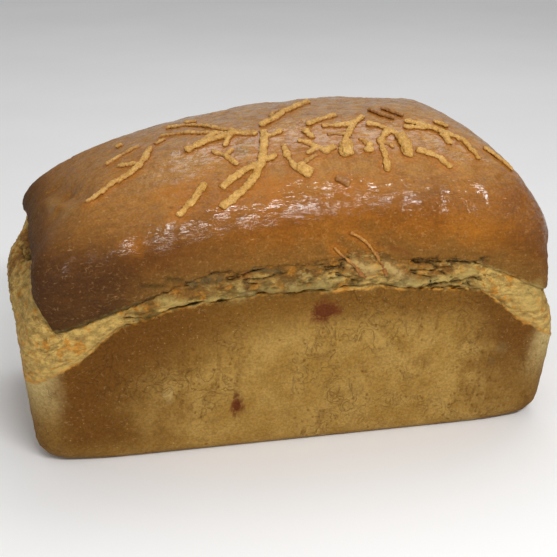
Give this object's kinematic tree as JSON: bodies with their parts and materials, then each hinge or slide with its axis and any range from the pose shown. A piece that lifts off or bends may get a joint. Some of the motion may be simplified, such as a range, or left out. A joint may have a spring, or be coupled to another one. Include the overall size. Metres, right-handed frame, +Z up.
{
  "type": "tin loaf",
  "caption": "Tin-baked loaf with a domed glazed crown, a torn pale band above tapered tin-side walls, melted cheese strands on top and filling pieces showing in the crust.",
  "frame": {"origin": "centre of the bounding box at the flat bottom of the loaf", "axes": "+X runs along the loaf towards its right end, -Y is its front, +Z is up"},
  "size_m": [0.24, 0.133, 0.1408],
  "materials": {
    "crust": "baked bread: glossy egg-washed brown crown, pale torn band, matt light brown tin-side walls",
    "cheese": "melted golden cheese with browned edges, slightly oily",
    "browned_cheese": "cheese baked brown, half sunk into the glaze",
    "filling": "dark red-brown filling piece, slightly moist"
  },
  "bodies": {
    "root": {"loaf": "crust", "browned_lump": "browned_cheese", "browned_strand_inner": "browned_cheese", "browned_strand_outer": "browned_cheese", "cheese_back_cross": "cheese", "cheese_back_crumb": "cheese", "cheese_back_fork": "cheese", "cheese_back_left": "cheese", "cheese_back_middle": "cheese", "cheese_back_right": "cheese", "cheese_back_sliver": "cheese", "cheese_blob": "cheese", "cheese_cross": "cheese", "cheese_drop": "cheese", "cheese_end_right": "cheese", "cheese_front_sliver": "cheese", "cheese_hook": "cheese", "cheese_knot": "cheese", "cheese_left_crumb": "cheese", "cheese_left_fork": "cheese", "cheese_left_sliver": "cheese", "cheese_long_right": "cheese", "cheese_loop": "cheese", "cheese_lower_right": "cheese", "cheese_ridge_crumb": "cheese", "cheese_ridge_tangle": "cheese", "cheese_short_left": "cheese", "cheese_stub": "cheese", "cheese_tripod": "cheese", "cheese_twig": "cheese", "cheese_upper_right": "cheese", "cheese_upper_sliver": "cheese", "filling_back_left": "filling", "filling_back_right": "filling", "filling_lower_front": "filling", "filling_upper_front": "filling", "hanging_strand_left": "cheese", "hanging_strand_right": "cheese"}
  },
  "joints": []
}
